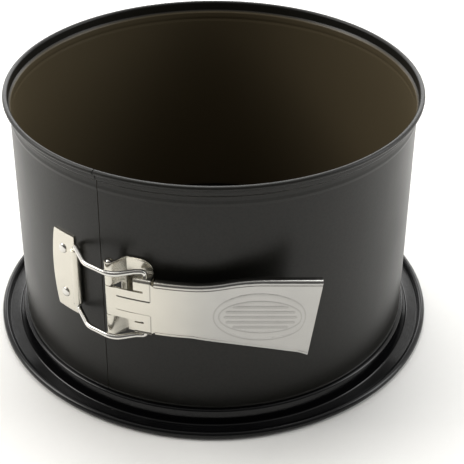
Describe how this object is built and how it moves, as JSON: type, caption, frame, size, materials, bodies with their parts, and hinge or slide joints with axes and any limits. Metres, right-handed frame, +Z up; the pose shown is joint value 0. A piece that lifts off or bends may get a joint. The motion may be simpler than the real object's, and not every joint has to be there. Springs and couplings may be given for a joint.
{
  "type": "springform pan",
  "caption": "Round deep baking pan whose ring opens at a lapped seam with an over-centre lever latch and lifts off a loose base plate with a rolled lip.",
  "frame": {"origin": "on the pan's axis, in the plane that the base plate stands on", "axes": "+Z up along the pan's axis, -Y towards the side with the lever, +X towards the free end of the lever"},
  "size_m": [0.206, 0.206, 0.118],
  "materials": {
    "nonstick_coating": "satin",
    "gloss_enamel": "gloss",
    "bright_zinc": "bright plated",
    "drawn_wire": "drawn and plated",
    "rivet_steel": "bright"
  },
  "bodies": {
    "base": {"base_plate": "gloss_enamel"},
    "ring": {"ring_band_right": "nonstick_coating", "hinge_plate": "bright_zinc", "hinge_rivet_upper": "rivet_steel", "hinge_rivet_lower": "rivet_steel", "hinge_pin": "rivet_steel"},
    "ring_left": {"ring_band_left": "nonstick_coating", "keeper_plate": "bright_zinc", "keeper_rivet_upper": "rivet_steel", "keeper_rivet_lower": "rivet_steel", "bail_leg": "drawn_wire"},
    "lever": {"lever": "bright_zinc"},
    "bail": {"bail_upper_arm": "drawn_wire", "bail_lower_arm": "drawn_wire"}
  },
  "joints": [
    {"name": "ring_lift", "type": "slide", "parent": "base", "child": "ring", "axis": [0, 0, 1], "range_m": [0, 0.14]},
    {"name": "lever_swing", "type": "hinge", "parent": "ring", "child": "lever", "pos_m": [-0.04156, -0.08753, 0.0627], "axis": [0, 0, -1], "range_deg": [0, 150]},
    {"name": "bail_swing", "type": "hinge", "parent": "lever", "child": "bail", "pos_m": [-0.02731, -0.09162, 0.0627], "axis": [0, 0, 1], "range_deg": [0, 121.6]},
    {"name": "ring_spread", "type": "hinge", "parent": "ring", "child": "ring_left", "pos_m": [0.04698, 0.08072, 0.0627], "axis": [0, 0, -1], "range_deg": [0, 6.3]}
  ],
  "couplings": [
    {"joint": "ring_spread", "follows": "lever_swing", "ratio": 0.041949},
    {"joint": "bail_swing", "follows": "lever_swing", "ratio": 0.80984}
  ]
}
